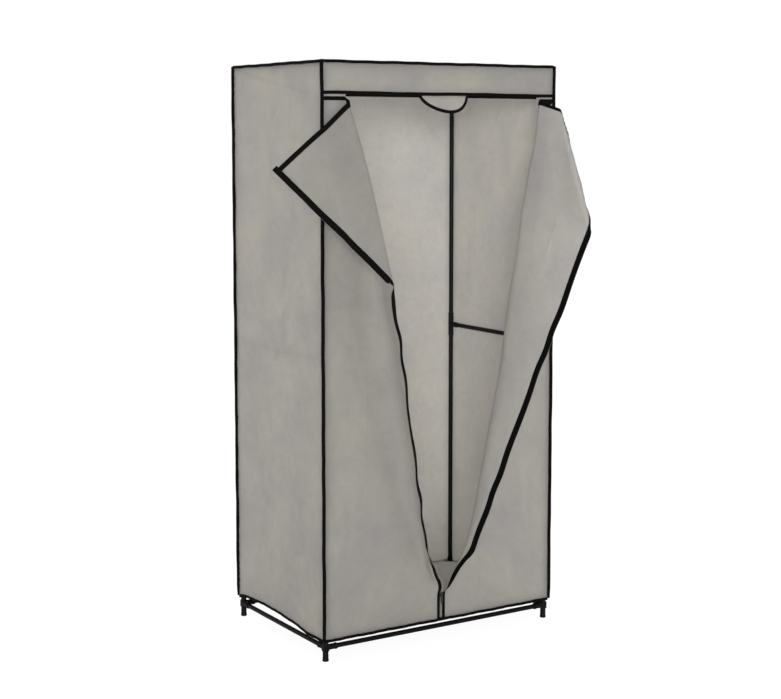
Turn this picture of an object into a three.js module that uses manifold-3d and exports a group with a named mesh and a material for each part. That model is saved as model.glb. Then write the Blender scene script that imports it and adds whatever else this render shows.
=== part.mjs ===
// Portable fabric wardrobe: a push-together tube frame inside a sewn cover whose two front
// doors part at a central zip. The doors are modelled folded back, as they hang when open.
// Millimetres. While it is built, X runs to the right, -Y to the front, and the floor is Z = 0.
import * as THREE from "three";
import { mergeVertices } from "three/addons/utils/BufferGeometryUtils.js";
import Module from "manifold-3d";

// Overall size, over the piping
const width = 755;
const depth = 510;
const height = 1600;

// Running clearance between pieces that touch
const gap = 0.3;
// Points closer than this are one
const weldDistance = 0.0003;
// How far a cutting shape runs past the face that it cuts
const overrun = 5;

// Tubes and their push-fit connectors
const tubeRadius = 6.5;
const tubeBore = 5.5;
const sleeveRadius = 8;
const socketLength = 26;
const socketFloor = 2;
const footHeight = 30;
const midHeight = 818;
const midSleeveHalf = 36;
const midDivider = 1;
const topRailDrop = 13;
const crownRadius = 3;
const hangingRailDrop = 27;
const bracketLength = 40;
const bracketWeb = 6;

// Cover cloth
const clothThickness = 1.2;
const pipingRadius = 3.5;
const pipingProud = 1;
const hemHeight = 54;
const hemWidth = 8;
const hemThickness = 2.2;
const floorNotchMargin = 1;

// Band across the top of the front, and the facing behind it with its half-moon tab
const bandHemDrop = 89.8;
const bandHemWidth = 7.7;
const bandHemThickness = 2.2;
const facingThickness = 1;
const facingInset = 47.5;
const facingHemDrop = 96;
const facingHemWidth = 6.5;
const facingSkirtDrop = 110;
const facingSkirtWidth = 30;
const facingTopMargin = 3;
const tabHalfWidth = 67;
const tabDrop = 40;

// Doors
const doorRecess = 3;
const doorTopDrop = 100;
const tongueDrop = 70;
const tongueInset = 6;
const bindingWidth = 8;
const bindingThickness = 2.4;
const bindingSetback = 2.5;
const fixedBindingThickness = 1;
const zipFootHeight = 136;
const tapeThickness = 1;
const tapeInner = 5.3;
const tapeOuter = 19;
const clothEdge = 12.3;
const coilThickness = 1.6;

// Folds of the open doors: how far in from the door's outer edge each fold starts at the top,
// how far from the centre line the first fold ends at the foot of the zip, how far down the free
// edge the second fold ends, and the angles that the cloth turns through
const leftFolds = { side: -1, first: 77, second: 102, secondDrop: 429 };
const leftSwingAngle = 110;
const leftCornerAngle = 91;
const rightFolds = { side: 1, first: 54, second: 136, secondDrop: 284 };
const rightSwingAngle = 107;
const rightCornerAngle = 120;
const foldFootInset = 32;
const foldGap = 0.4;

// Zip slider and its pull
const sliderHalfWidth = 4.5;
const sliderLength = 14;
const sliderFront = 2.4;
const sliderBack = 0.9;
const bridgeHalfWidth = 1.4;
const bridgeReach = 3.2;
const bridgeBar = 1;
const pullBarRadius = 0.8;
const pullBarDrop = 3;
const pullLegWidth = 1.2;
const pullLegGap = 0.5;
const pullLength = 30;
const pullLegLength = 11.5;
const pullHalfWidth = 3.4;
const pullThickness = 1.2;

// Facets
const roundSegments = 16;
const smallSegments = 8;
const tabSegments = 14;

// Planes and centres that follow from the sizes above
const clothX = width / 2 - pipingProud;
const clothY = depth / 2 - pipingProud;
const clothTop = height - pipingProud;
const pipeX = width / 2 - pipingRadius;
const pipeY = depth / 2 - pipingRadius;
const pipeTop = height - pipingRadius;
const seamX = pipeX - pipingRadius - gap;
const seamY = pipeY - pipingRadius - gap;
const hemTop = hemHeight + hemWidth + gap;
const doorFront = -depth / 2 + doorRecess;
const doorBack = doorFront + clothThickness;
const tapeFront = doorBack + gap;
const facingFront = tapeFront + tapeThickness + gap;
const bandHemHeight = height - bandHemDrop;
const facingHemHeight = height - facingHemDrop;
const facingSkirtHeight = height - facingSkirtDrop;
const doorTopHeight = height - doorTopDrop;
const tongueHeight = height - tongueDrop;
const facingHalfWidth = width / 2 - facingInset;
const facingSkirtHalfWidth = facingHalfWidth - facingSkirtWidth;
const postX = clothX - clothThickness - gap - sleeveRadius;
const postY = -(facingFront + facingThickness + gap + tubeRadius);
const footRailHeight = footHeight + sleeveRadius;
const topRailHeight = height - topRailDrop;
const hangingRailHeight = topRailHeight - hangingRailDrop;
const socketRadius = tubeRadius + gap;
const socketStart = sleeveRadius + gap;
const socketEnd = socketStart + socketLength;
const railEnd = socketStart + gap;

const wasm = await Module();
wasm.setup();

const cloth = { color: 0x9f9b91, roughness: 0.92, metalness: 0 };
const trim = { color: 0x14120f, roughness: 0.8, metalness: 0 };
const steel = { color: 0x1a1816, roughness: 0.45, metalness: 0.3 };
const plastic = { color: 0x1d1b19, roughness: 0.55, metalness: 0 };
const zinc = { color: 0x26231f, roughness: 0.35, metalness: 0.6 };

function named(name, geometry, finish) {
  const mesh = new THREE.Mesh(geometry, new THREE.MeshStandardMaterial(finish));
  mesh.name = name;
  return mesh;
}

// Closed geometry to a solid that can be joined and cut, and back
function solid(geometry) {
  const bare = new THREE.BufferGeometry();
  const source = geometry.index ? geometry.toNonIndexed() : geometry;
  bare.setAttribute("position", source.getAttribute("position"));
  const merged = mergeVertices(bare, weldDistance);
  return new wasm.Manifold(
    new wasm.Mesh({
      numProp: 3,
      vertProperties: new Float32Array(merged.getAttribute("position").array),
      triVerts: new Uint32Array(merged.index.array),
    }),
  );
}

function shapeOf(body) {
  const mesh = body.getMesh();
  const geometry = new THREE.BufferGeometry();
  const places = new Float32Array(mesh.numVert * 3);
  for (let i = 0; i < mesh.numVert; i += 1)
    for (let k = 0; k < 3; k += 1)
      places[i * 3 + k] = mesh.vertProperties[i * mesh.numProp + k];
  geometry.setAttribute("position", new THREE.BufferAttribute(places, 3));
  geometry.setIndex(new THREE.BufferAttribute(new Uint32Array(mesh.triVerts), 1));
  geometry.computeVertexNormals();
  return geometry;
}

const joined = (parts) => parts.map(solid).reduce((a, b) => a.add(b));

// A round bar between two points
function bar(from, to, radius, segments = roundSegments) {
  const a = new THREE.Vector3(...from);
  const along = new THREE.Vector3(...to).sub(a);
  const geometry = new THREE.CylinderGeometry(radius, radius, along.length(), segments);
  const turn = new THREE.Quaternion().setFromUnitVectors(
    new THREE.Vector3(0, 1, 0),
    along.clone().normalize(),
  );
  const middle = a.addScaledVector(along, 1 / 2);
  return geometry.applyQuaternion(turn).translate(middle.x, middle.y, middle.z);
}

// A block between two corners
function block(low, high) {
  const size = high.map((v, i) => v - low[i]);
  const middle = high.map((v, i) => (v + low[i]) / 2);
  return new THREE.BoxGeometry(...size).translate(...middle);
}

// A flat outline of [across, up] points with a thickness
function slab(outline, thickness) {
  const shape = new THREE.Shape(outline.map(([x, y]) => new THREE.Vector2(x, y)));
  return new THREE.ExtrudeGeometry(shape, { depth: thickness, bevelEnabled: false });
}

// The same outline stood up: facing the front at y, or facing a side at x
const frontSlab = (outline, y, thickness) =>
  slab(outline, thickness).rotateX(Math.PI / 2).translate(0, y + thickness, 0);
const sideSlab = (outline, x, thickness) =>
  slab(outline, thickness).rotateX(Math.PI / 2).rotateZ(Math.PI / 2).translate(x, 0, 0);

// A hollow steel tube, turned from its wall's section
function tube(from, to) {
  const a = new THREE.Vector3(...from);
  const along = new THREE.Vector3(...to).sub(a);
  const length = along.length();
  const wall = [
    [tubeBore, 0],
    [tubeRadius, 0],
    [tubeRadius, length],
    [tubeBore, length],
    [tubeBore, 0],
  ];
  const section = wall.map(([r, y]) => new THREE.Vector2(r, y));
  const turn = new THREE.Quaternion().setFromUnitVectors(
    new THREE.Vector3(0, 1, 0),
    along.normalize(),
  );
  return new THREE.LatheGeometry(section, roundSegments)
    .applyQuaternion(turn)
    .translate(a.x, a.y, a.z);
}

// One moulded socket arm on a connector, and the bore that takes its tube
function arm(centre, direction) {
  const at = (distance) => centre.map((v, i) => v + direction[i] * distance);
  return {
    outer: bar(centre, at(socketEnd), sleeveRadius),
    bore: bar(at(socketStart), at(socketEnd + overrun), socketRadius),
  };
}

function connector(parts, arms) {
  const outside = joined([...parts, ...arms.map((a) => a.outer)]);
  return shapeOf(arms.reduce((body, a) => body.subtract(solid(a.bore)), outside));
}

const wardrobe = new THREE.Group();
const corners = [
  { name: "front_left", x: -1, y: -1 },
  { name: "front_right", x: 1, y: -1 },
  { name: "back_left", x: -1, y: 1 },
  { name: "back_right", x: 1, y: 1 },
];

// Four posts, each in two lengths, with a foot, a middle joint and a top corner
for (const corner of corners) {
  const x = corner.x * postX;
  const y = corner.y * postY;
  const inX = [-corner.x, 0, 0];
  const inY = [0, -corner.y, 0];
  const up = [0, 0, 1];
  const down = [0, 0, -1];
  const footCentre = [x, y, footRailHeight];
  const foot = connector(
    [bar([x, y, 0], footCentre, sleeveRadius)],
    [arm(footCentre, inX), arm(footCentre, inY), arm(footCentre, up)],
  );
  wardrobe.add(named("foot_connector_" + corner.name, foot, plastic));

  const lowerStart = footRailHeight + railEnd;
  const lowerEnd = midHeight - midDivider - gap;
  const lower = tube([x, y, lowerStart], [x, y, lowerEnd]);
  wardrobe.add(named("lower_post_" + corner.name, lower, steel));

  const sideArm = arm([x, y, midHeight], inY);
  const sleeve = solid(
    bar([x, y, midHeight - midSleeveHalf], [x, y, midHeight + midSleeveHalf], sleeveRadius),
  ).add(solid(sideArm.outer));
  const ends = [-1, 1].map((way) =>
    solid(
      bar(
        [x, y, midHeight + way * midDivider],
        [x, y, midHeight + way * (midSleeveHalf + overrun)],
        socketRadius,
      ),
    ),
  );
  const middle = sleeve.subtract(ends[0]).subtract(ends[1]).subtract(solid(sideArm.bore));
  wardrobe.add(named("middle_connector_" + corner.name, shapeOf(middle), plastic));

  const upperStart = midHeight + midDivider + gap;
  const upperEnd = topRailHeight - railEnd;
  const upper = tube([x, y, upperStart], [x, y, upperEnd]);
  wardrobe.add(named("upper_post_" + corner.name, upper, steel));

  const topCentre = [x, y, topRailHeight];
  const crownTop = clothTop - clothThickness - gap;
  const top = connector(
    [
      new THREE.SphereGeometry(sleeveRadius, roundSegments, smallSegments).translate(...topCentre),
      bar(topCentre, [x, y, crownTop], crownRadius, smallSegments),
    ],
    [arm(topCentre, inX), arm(topCentre, inY), arm(topCentre, down)],
  );
  wardrobe.add(named("top_connector_" + corner.name, top, plastic));
}

// Rails round the foot and the top, side rails at mid height
const railX = postX - railEnd;
const railY = postY - railEnd;
for (const [level, z] of [["bottom", footRailHeight], ["top", topRailHeight]]) {
  for (const [face, way] of [["front", -1], ["back", 1]]) {
    const rail = tube([-railX, way * postY, z], [railX, way * postY, z]);
    wardrobe.add(named(level + "_rail_" + face, rail, steel));
  }
}
for (const [level, z] of [["bottom", footRailHeight], ["middle", midHeight], ["top", topRailHeight]]) {
  for (const [face, way] of [["left", -1], ["right", 1]]) {
    const rail = tube([way * postX, -railY, z], [way * postX, railY, z]);
    wardrobe.add(named(level + "_rail_" + face, rail, steel));
  }
}

// Hanging rail, slung under the two top side rails by a bracket at each end
for (const [face, way] of [["left", -1], ["right", 1]]) {
  const x = way * postX;
  const ring = bar(
    [x, -bracketLength / 2, topRailHeight],
    [x, bracketLength / 2, topRailHeight],
    sleeveRadius,
  );
  const bore = bar(
    [x, -bracketLength / 2 - overrun, topRailHeight],
    [x, bracketLength / 2 + overrun, topRailHeight],
    socketRadius,
  );
  const web = block(
    [x - bracketWeb / 2, -sleeveRadius, hangingRailHeight],
    [x + bracketWeb / 2, sleeveRadius, topRailHeight],
  );
  const back = x + way * sleeveRadius;
  const cup = bar([back, 0, hangingRailHeight], [x - way * socketEnd, 0, hangingRailHeight], sleeveRadius);
  const cupBore = bar(
    [x - way * socketFloor, 0, hangingRailHeight],
    [x - way * (socketEnd + overrun), 0, hangingRailHeight],
    socketRadius,
  );
  const bracket = joined([ring, web, cup]).subtract(solid(bore)).subtract(solid(cupBore));
  wardrobe.add(named("hanging_rail_bracket_" + face, shapeOf(bracket), plastic));
}
const hangingEnd = postX - socketFloor - gap;
const hangingRail = tube([-hangingEnd, 0, hangingRailHeight], [hangingEnd, 0, hangingRailHeight]);
wardrobe.add(named("hanging_rail", hangingRail, steel));

// Flat panels of the cover, sewn between the piping
const topOutline = [[-seamX, -seamY], [seamX, -seamY], [seamX, seamY], [-seamX, seamY]];
const topPanel = slab(topOutline, clothThickness).translate(0, 0, clothTop - clothThickness);
wardrobe.add(named("top_panel", topPanel, cloth));
const panelTop = pipeTop - pipingRadius - gap;
const backOutline = [[-seamX, hemTop], [seamX, hemTop], [seamX, panelTop], [-seamX, panelTop]];
const backPanel = frontSlab(backOutline, clothY - clothThickness, clothThickness);
wardrobe.add(named("back_panel", backPanel, cloth));
const sideOutline = [[-seamY, hemTop], [seamY, hemTop], [seamY, panelTop], [-seamY, panelTop]];
wardrobe.add(named("left_side_panel", sideSlab(sideOutline, -clothX, clothThickness), cloth));
const rightSide = sideSlab(sideOutline, clothX - clothThickness, clothThickness);
wardrobe.add(named("right_side_panel", rightSide, cloth));

// Floor sheet, sewn in at hem height, with a notch round each post
const floorX = width / 2 - hemThickness - gap;
const floorBack = depth / 2 - hemThickness - gap;
const hemFront = doorFront - (hemThickness - clothThickness) / 2;
const floorFront = hemFront + hemThickness + gap;
const notchX = postX - sleeveRadius - floorNotchMargin;
const notchY = postY - sleeveRadius - floorNotchMargin;
const floorOutline = [
  [-notchX, floorFront], [notchX, floorFront], [notchX, -notchY], [floorX, -notchY],
  [floorX, notchY], [notchX, notchY], [notchX, floorBack], [-notchX, floorBack],
  [-notchX, notchY], [-floorX, notchY], [-floorX, -notchY], [-notchX, -notchY],
];
const floorLevel = hemHeight + (hemWidth - clothThickness) / 2;
wardrobe.add(named("floor_sheet", slab(floorOutline, clothThickness).translate(0, 0, floorLevel), cloth));

// Hem binding round the foot of the cover
const hemShape = new THREE.Shape([
  new THREE.Vector2(-width / 2, hemFront),
  new THREE.Vector2(width / 2, hemFront),
  new THREE.Vector2(width / 2, depth / 2),
  new THREE.Vector2(-width / 2, depth / 2),
]);
const hemInner = [
  [-width / 2 + hemThickness, hemFront + hemThickness],
  [width / 2 - hemThickness, hemFront + hemThickness],
  [width / 2 - hemThickness, depth / 2 - hemThickness],
  [-width / 2 + hemThickness, depth / 2 - hemThickness],
];
hemShape.holes.push(new THREE.Path(hemInner.map(([x, y]) => new THREE.Vector2(x, y))));
const hem = new THREE.ExtrudeGeometry(hemShape, { depth: hemWidth, bevelEnabled: false });
wardrobe.add(named("hem_binding", hem.translate(0, 0, hemHeight), trim));

// Piping down the four corners and round the top, joined by the bound hem of the front band
const bandHemFront = -clothY - (bandHemThickness - clothThickness) / 2;
const bandHem = block(
  [-pipeX, bandHemFront, bandHemHeight],
  [pipeX, bandHemFront + bandHemThickness, bandHemHeight + bandHemWidth],
);
const pipingRuns = [bandHem];
for (const corner of corners) {
  const top = [corner.x * pipeX, corner.y * pipeY, pipeTop];
  pipingRuns.push(bar([top[0], top[1], hemTop], top, pipingRadius, smallSegments));
  const knuckle = new THREE.SphereGeometry(pipingRadius, smallSegments, smallSegments);
  pipingRuns.push(knuckle.translate(...top));
}
for (const way of [-1, 1]) {
  pipingRuns.push(
    bar([-pipeX, way * pipeY, pipeTop], [pipeX, way * pipeY, pipeTop], pipingRadius, smallSegments),
    bar([way * pipeX, -pipeY, pipeTop], [way * pipeX, pipeY, pipeTop], pipingRadius, smallSegments),
  );
}
wardrobe.add(named("edge_piping", shapeOf(joined(pipingRuns)), trim));

// Band across the top of the front
const bandBottom = bandHemHeight + bandHemWidth + gap;
const bandOutline = [[-seamX, bandBottom], [seamX, bandBottom], [seamX, panelTop], [-seamX, panelTop]];
wardrobe.add(named("front_band", frontSlab(bandOutline, -clothY, clothThickness), cloth));

// Facing behind the band: plain skirts at both ends, and between them a bound edge that dips
// into the half-moon tab over the top of the zip
function facingEdge(rise) {
  const points = [[-facingSkirtHalfWidth, facingHemHeight + rise]];
  for (let i = 0; i <= tabSegments; i += 1) {
    const turn = Math.PI * (i / tabSegments);
    const reach = tabHalfWidth - rise;
    points.push([-reach * Math.cos(turn), facingHemHeight + rise - tabDrop * Math.sin(turn)]);
  }
  points.push([facingSkirtHalfWidth, facingHemHeight + rise]);
  return points;
}
const facingTop = panelTop - facingTopMargin;
const facingOutline = [
  [-facingHalfWidth, facingTop],
  [-facingHalfWidth, facingSkirtHeight],
  [-facingSkirtHalfWidth - gap, facingSkirtHeight],
  ...facingEdge(facingHemWidth + gap).map(([x, z], i) => (i === 0 ? [x - gap, z] : [x, z])),
  [facingSkirtHalfWidth + gap, facingHemHeight + facingHemWidth + gap],
  [facingSkirtHalfWidth + gap, facingSkirtHeight],
  [facingHalfWidth, facingSkirtHeight],
  [facingHalfWidth, facingTop],
];
wardrobe.add(named("zip_facing", frontSlab(facingOutline, facingFront, facingThickness), cloth));
const facingHemOutline = [...facingEdge(0), ...facingEdge(facingHemWidth).reverse()];
wardrobe.add(named("facing_binding", frontSlab(facingHemOutline, facingFront, facingThickness), trim));

// A fold line of a door, as points (distance from the centre line, height)
function foldLine(inset, endAcross, endHeight) {
  const from = width / 2 - inset;
  const slope = (doorTopHeight - endHeight) / (from - endAcross);
  return {
    across: (z, shift = 0) => endAcross + (z - endHeight) / slope + shift,
    up: (across, shift = 0) => endHeight + (across - shift - endAcross) * slope,
    end: [endAcross, endHeight],
  };
}

// A group whose children, placed as in the closed door, turn about a fold line by an angle
function turned(side, line, angle) {
  const [endAcross, endHeight] = line.end;
  const low = new THREE.Vector3(side * endAcross, doorFront, endHeight);
  const high = new THREE.Vector3(side * line.across(doorTopHeight), doorFront, doorTopHeight);
  const axis = high.sub(low).normalize();
  const group = new THREE.Group();
  group.quaternion.setFromAxisAngle(axis, side * THREE.MathUtils.degToRad(angle));
  group.position.copy(low).sub(low.clone().applyQuaternion(group.quaternion));
  return group;
}

// One door: a fixed strip, a swing panel that folds out about the first fold line, and a top
// corner that folds back about the second. Outlines are in (distance from centre, height).
function addDoor(prefix, folds, swingAngle, cornerAngle) {
  const { side } = folds;
  const first = foldLine(folds.first, foldFootInset, zipFootHeight);
  const second = foldLine(folds.second, tapeInner, doorTopHeight - folds.secondDrop);
  const half = foldGap / 2;
  const out = (outline) => outline.map(([u, z]) => [side * u, z]);
  const panel = (outline) => frontSlab(out(outline), doorFront, clothThickness);
  const tape = (outline) => frontSlab(out(outline), tapeFront, tapeThickness);
  const edgeBinding = (outline) => frontSlab(out(outline), doorFront, bindingThickness);
  const panelTopHeight = doorTopHeight - bindingWidth - gap;
  const bindingFoot = doorTopHeight - bindingWidth;
  const swingFoot = zipFootHeight + foldGap;

  const tongueEdge = first.across(doorTopHeight, half) + tongueInset;
  const fixed = panel([
    [seamX, hemTop],
    [seamX, tongueHeight],
    [tongueEdge, tongueHeight],
    [tongueEdge, doorTopHeight],
    [first.across(doorTopHeight, half), doorTopHeight],
    [first.across(zipFootHeight, half), zipFootHeight],
    [clothEdge, zipFootHeight],
    [clothEdge, hemTop],
  ]);
  wardrobe.add(named(prefix + "_door_fixed_panel", fixed, cloth));
  const fixedBinding = frontSlab(
    out([
      [seamX, bindingFoot],
      [seamX, doorTopHeight],
      [first.across(doorTopHeight, bindingSetback), doorTopHeight],
      [first.across(bindingFoot, bindingSetback), bindingFoot],
    ]),
    doorFront - gap - fixedBindingThickness,
    fixedBindingThickness,
  );
  wardrobe.add(named(prefix + "_door_fixed_binding", fixedBinding, trim));

  const swing = turned(side, first, swingAngle);
  const swingPanel = panel([
    [first.across(panelTopHeight, -half), panelTopHeight],
    [second.across(panelTopHeight, half), panelTopHeight],
    [clothEdge, second.up(clothEdge, half)],
    [clothEdge, swingFoot],
    [first.across(swingFoot, -half), swingFoot],
  ]);
  swing.add(named(prefix + "_door_swing_panel", swingPanel, cloth));
  const swingTape = tape([
    [tapeInner, swingFoot],
    [tapeInner, second.up(tapeInner, half)],
    [tapeOuter, second.up(tapeOuter, half)],
    [tapeOuter, swingFoot],
  ]);
  swing.add(named(prefix + "_door_swing_tape", swingTape, trim));
  const swingBinding = edgeBinding([
    [first.across(doorTopHeight, -bindingSetback), doorTopHeight],
    [second.across(doorTopHeight, bindingSetback), doorTopHeight],
    [second.across(bindingFoot, bindingSetback), bindingFoot],
    [first.across(bindingFoot, -bindingSetback), bindingFoot],
  ]);
  swing.add(named(prefix + "_door_swing_binding", swingBinding, trim));

  const corner = turned(side, second, cornerAngle);
  const cornerPanel = panel([
    [second.across(panelTopHeight, -half), panelTopHeight],
    [clothEdge, panelTopHeight],
    [clothEdge, second.up(clothEdge, -half)],
  ]);
  corner.add(named(prefix + "_door_corner_panel", cornerPanel, cloth));
  const cornerTape = tape([
    [tapeInner, doorTopHeight],
    [tapeOuter, doorTopHeight],
    [tapeOuter, second.up(tapeOuter, -half)],
    [tapeInner, second.up(tapeInner, -half)],
  ]);
  const cornerBinding = edgeBinding([
    [second.across(doorTopHeight, -bindingSetback), doorTopHeight],
    [tapeInner, doorTopHeight],
    [tapeInner, bindingFoot],
    [second.across(bindingFoot, -bindingSetback), bindingFoot],
  ]);
  const cornerTrim = shapeOf(joined([cornerTape, cornerBinding]));
  corner.add(named(prefix + "_door_corner_trim", cornerTrim, trim));
  swing.add(corner);
  wardrobe.add(swing);
}

addDoor("left", leftFolds, leftSwingAngle, leftCornerAngle);
addDoor("right", rightFolds, rightSwingAngle, rightCornerAngle);

// The closed foot of the zip: both tapes and the coil between them, from the hem to the slider
const zipTapes = block(
  [-tapeOuter, tapeFront, hemTop],
  [tapeOuter, tapeFront + tapeThickness, zipFootHeight],
);
const sliderTop = zipFootHeight;
const sliderFoot = sliderTop - sliderLength;
const zipCoil = block(
  [-tapeInner - overrun, tapeFront + tapeThickness - coilThickness, hemTop],
  [tapeInner + overrun, tapeFront + tapeThickness, sliderFoot - gap],
);
const sliderWay = block(
  [-tapeInner, tapeFront - overrun, sliderFoot - gap],
  [tapeInner, tapeFront + overrun, zipFootHeight + overrun],
);
const lowerZip = solid(zipTapes).add(solid(zipCoil)).subtract(solid(sliderWay));
wardrobe.add(named("lower_zip", shapeOf(lowerZip), trim));

// Slider at the top of the closed coil, with the bridge that its pull hangs from
const sliderFace = doorFront - sliderFront;
const bridgeFace = sliderFace - bridgeReach;
const sliderBody = block(
  [-sliderHalfWidth, sliderFace, sliderFoot],
  [sliderHalfWidth, tapeFront + sliderBack, sliderTop],
);
const bridgeWindow = block(
  [-bridgeHalfWidth - overrun, bridgeFace + bridgeBar, sliderFoot + bridgeBar * 2],
  [bridgeHalfWidth + overrun, sliderFace, sliderTop - bridgeBar * 2],
);
const bridge = block(
  [-bridgeHalfWidth, bridgeFace, sliderFoot + bridgeBar],
  [bridgeHalfWidth, sliderFace + bridgeBar / 2, sliderTop - bridgeBar],
);
const slider = joined([sliderBody, bridge]).subtract(solid(bridgeWindow));
wardrobe.add(named("zip_slider", shapeOf(slider), zinc));

// Pull: a bar under the bridge, two legs round it and a flat grip
const pullY = (sliderFace + bridgeFace + bridgeBar) / 2;
const pullZ = sliderTop - pullBarDrop;
const legInner = bridgeHalfWidth + pullLegGap;
const legOuter = legInner + pullLegWidth;
const legFoot = pullZ - pullLegLength;
const pullBar = bar([-legOuter, pullY, pullZ], [legOuter, pullY, pullZ], pullBarRadius, smallSegments);
const legs = [-1, 1].map((way) =>
  block(
    [Math.min(way * legInner, way * legOuter), pullY - pullThickness / 2, legFoot],
    [Math.max(way * legInner, way * legOuter), pullY + pullThickness / 2, pullZ],
  ),
);
const grip = block(
  [-pullHalfWidth, pullY - pullThickness / 2, pullZ - pullLength],
  [pullHalfWidth, pullY + pullThickness / 2, legFoot],
);
wardrobe.add(named("zip_pull", shapeOf(joined([pullBar, ...legs, grip])), zinc));

// The part's own origin is under the middle of the front left foot
const part = new THREE.Group();
wardrobe.position.set(postX, postY, 0);
part.add(wardrobe);

export default part;
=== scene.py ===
"""Portable fabric wardrobe: a tube frame in a sewn grey cover, with both front doors folded back."""

import math

import bmesh
import bpy
import numpy as np
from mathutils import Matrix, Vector


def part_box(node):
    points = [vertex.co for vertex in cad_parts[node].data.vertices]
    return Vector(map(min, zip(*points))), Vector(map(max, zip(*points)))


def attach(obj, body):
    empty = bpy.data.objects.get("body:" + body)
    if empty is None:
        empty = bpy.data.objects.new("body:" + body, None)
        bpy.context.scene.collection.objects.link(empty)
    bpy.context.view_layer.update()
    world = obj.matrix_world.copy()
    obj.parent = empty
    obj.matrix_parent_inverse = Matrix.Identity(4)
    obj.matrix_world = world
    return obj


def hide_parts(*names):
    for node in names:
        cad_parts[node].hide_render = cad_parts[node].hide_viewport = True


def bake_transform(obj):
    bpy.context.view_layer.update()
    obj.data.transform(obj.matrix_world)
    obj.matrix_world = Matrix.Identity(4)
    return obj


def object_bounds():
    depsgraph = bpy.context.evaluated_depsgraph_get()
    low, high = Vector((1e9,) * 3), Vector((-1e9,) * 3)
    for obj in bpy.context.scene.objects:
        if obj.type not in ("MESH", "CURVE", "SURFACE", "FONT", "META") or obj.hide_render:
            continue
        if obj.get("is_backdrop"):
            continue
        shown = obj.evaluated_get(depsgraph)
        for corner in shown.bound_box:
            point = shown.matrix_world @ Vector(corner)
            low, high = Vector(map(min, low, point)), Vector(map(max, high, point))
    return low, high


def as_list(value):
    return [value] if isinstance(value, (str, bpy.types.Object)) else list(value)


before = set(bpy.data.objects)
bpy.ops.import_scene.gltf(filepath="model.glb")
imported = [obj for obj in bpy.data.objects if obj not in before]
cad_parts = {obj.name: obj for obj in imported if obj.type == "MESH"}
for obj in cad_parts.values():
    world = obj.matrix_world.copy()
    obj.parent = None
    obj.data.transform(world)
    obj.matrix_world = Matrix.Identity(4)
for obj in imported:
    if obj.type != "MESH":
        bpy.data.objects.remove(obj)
cad_low, cad_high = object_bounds()

# Main sizes in millimetres. Heights are from the floor, and the rest is from the middle of it.
POST_X, POST_Y = 367.0, 241.4
FOOT_RAIL, SIDE_RAIL, TOP_RAIL, HANGING_RAIL = 38.0, 818.0, 1587.0, 1560.0
PANEL_X, PANEL_Y = 375.0, 252.0
HEM, PANEL_TOP = 57.0, 1596.0
SIDE_FACE, BACK_FACE, TOP_FACE = 376.4, 253.9, 1598.9
CORNER_X = 377.5
DOOR_FRONT, DOOR_TOP = -252.0, 1500.0
FREE_EDGE = 13.5
ZIP_FOOT = 136.0
CLOTH = 1.2


# Frame tubes. Thin steel tube 13 mm across, sawn square and powder coated black, pushed into the
# connectors. Four posts in two lengths each, and rails round the foot, the sides and the top.
class Wire:
    """A socket in a material. An expression on wires adds Math nodes; node() adds any other."""

    def __init__(self, tree, socket=None):
        self.tree = tree
        self.socket = socket

    def node(self, kind, settings=None, inputs=None, output=0):
        made = self.tree.nodes.new("ShaderNode" + kind)
        for name, value in (settings or {}).items():
            setattr(made, name, value)
        for name, value in (inputs or {}).items():
            if isinstance(value, Wire):
                self.tree.links.new(value.socket, made.inputs[name])
            else:
                made.inputs[name].default_value = value
        return Wire(self.tree, made.outputs[output] if len(made.outputs) else None)

    def noise(self, place, scale, detail, rough=0.5, twist=0.0):
        return self.node("TexNoise", None, {"Vector": place, "Scale": scale, "Detail": detail,
                                            "Roughness": rough, "Distortion": twist})

    def mix(self, share, first, second):
        """A colour between two, each a wire or three numbers."""
        first, second = (end if isinstance(end, Wire) else (*end, 1.0) for end in (first, second))
        return self.node("Mix", {"data_type": "RGBA"}, {0: share, 6: first, 7: second}, 2)

    def step(self, source, low, high):
        """Black where the source is below low, white above high, and even between."""
        made = self.node("ValToRGB", None, {0: source})
        ramp = made.socket.node.color_ramp.elements
        ramp[0].position, ramp[1].position = low, high
        return made

    def calc(self, operation, *ends):
        return self.node("Math", {"operation": operation}, dict(enumerate(ends)))

    def __add__(self, other):
        return self.calc("ADD", self, other)

    def __radd__(self, other):
        return self.calc("ADD", other, self)

    def __rsub__(self, other):
        return self.calc("SUBTRACT", other, self)

    def __mul__(self, other):
        return self.calc("MULTIPLY", self, other)


def blank(name):
    """A new material with no nodes, and a wire to start from."""
    material = bpy.data.materials.new(name)
    material.use_nodes = True
    material.node_tree.nodes.clear()
    return material, Wire(material.node_tree)


def placed(name, data):
    """A new object in the scene."""
    obj = bpy.data.objects.new(name, data)
    bpy.context.scene.collection.objects.link(obj)
    return obj


def unit(vectors):
    return vectors / np.linalg.norm(vectors, axis=-1, keepdims=True)


def tone(colour, by, more=0.0):
    return tuple(c * by + more for c in colour)


def coated(name, colour, rough, shine, grain, depth, metal=0.0):
    """A hard finish: fine grain in the surface, uneven gloss and a few specks of dust."""
    material, start = blank(name)
    place = start.node("TexCoord", None, None, 3)
    grains = start.noise(place, grain, 3.0)
    clouds = start.noise(place, 38.0, 4.0)
    dust = start.step(start.noise(place, 210.0, 2.0), 0.60, 0.74)
    shade = start.mix(clouds, tone(colour, 0.8), tone(colour, 1.3))
    shade = start.mix(dust * 0.35, shade, tone(colour, 1.6, 0.004))
    bump = start.node("Bump", None, {"Height": grains, "Distance": depth, "Strength": 1.0})
    shader = start.node("BsdfPrincipled", None, {
        "Base Color": shade, "Roughness": clouds * 0.16 + (rough - 0.08), "Normal": bump,
        "Metallic": metal, "Specular IOR Level": shine})
    start.node("OutputMaterial", None, {"Surface": shader})
    return material


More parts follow.
